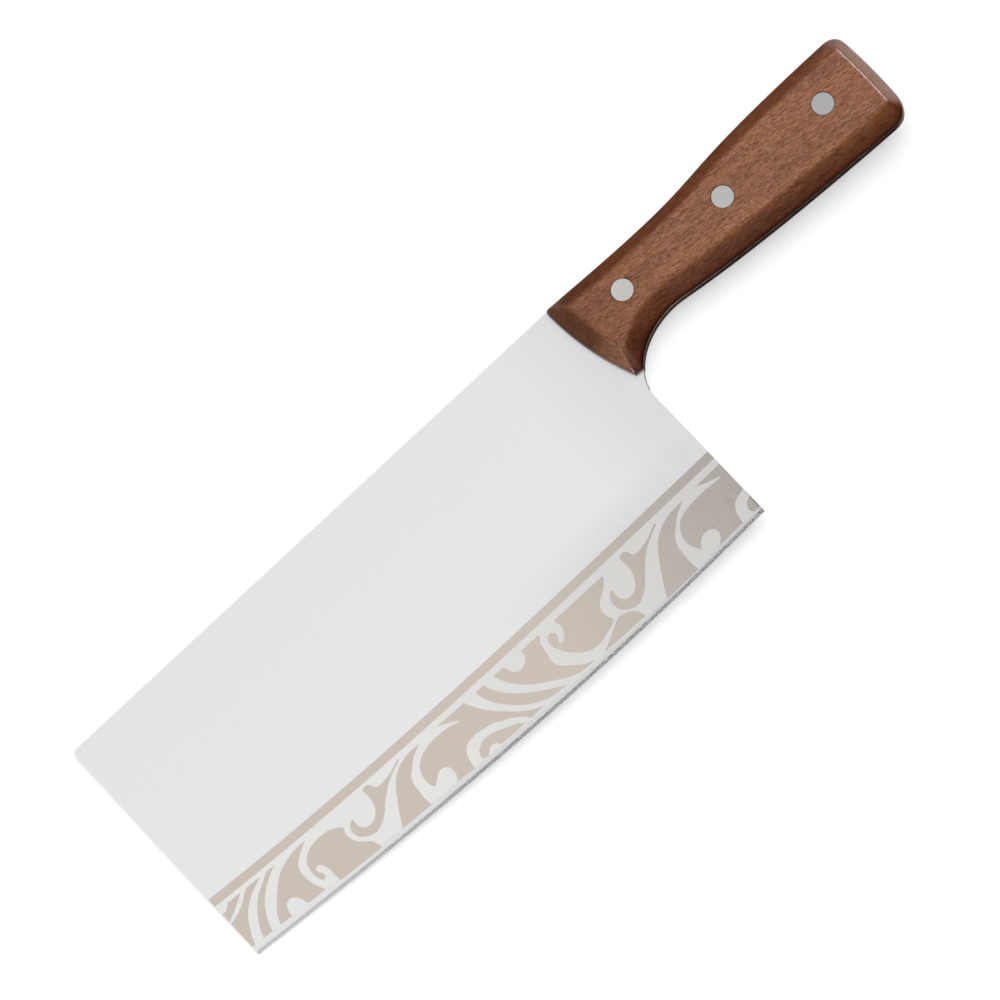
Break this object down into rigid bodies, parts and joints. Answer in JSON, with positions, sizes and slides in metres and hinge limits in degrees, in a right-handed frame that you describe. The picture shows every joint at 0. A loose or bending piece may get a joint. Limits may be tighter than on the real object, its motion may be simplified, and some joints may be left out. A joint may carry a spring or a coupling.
{
  "type": "vegetable cleaver",
  "caption": "Square-ended kitchen cleaver with a tall thin blade, a full tang and riveted wooden handle scales, for slicing and chopping vegetables.",
  "frame": {"origin": "middle of the bottom of the knife's box as it lies flat, rear scale down", "axes": "+X from the square front end to the butt, +Y from the edge to the spine, +Z out of the front face"},
  "size_m": [0.3322, 0.0988, 0.0184],
  "materials": {
    "blade_steel": "fine satin stainless steel, with a taupe etched scroll border on the ground face",
    "scale_wood": "reddish brown open-pored hardwood, semi-gloss lacquer",
    "rivet_metal": "satin ground heads"
  },
  "bodies": {
    "root": {"blade": "blade_steel", "front_scale": "scale_wood", "rear_scale": "scale_wood", "rivet_1_post": "rivet_metal", "rivet_1_tube": "rivet_metal", "rivet_2_post": "rivet_metal", "rivet_2_tube": "rivet_metal", "rivet_3_post": "rivet_metal", "rivet_3_tube": "rivet_metal"}
  },
  "joints": []
}
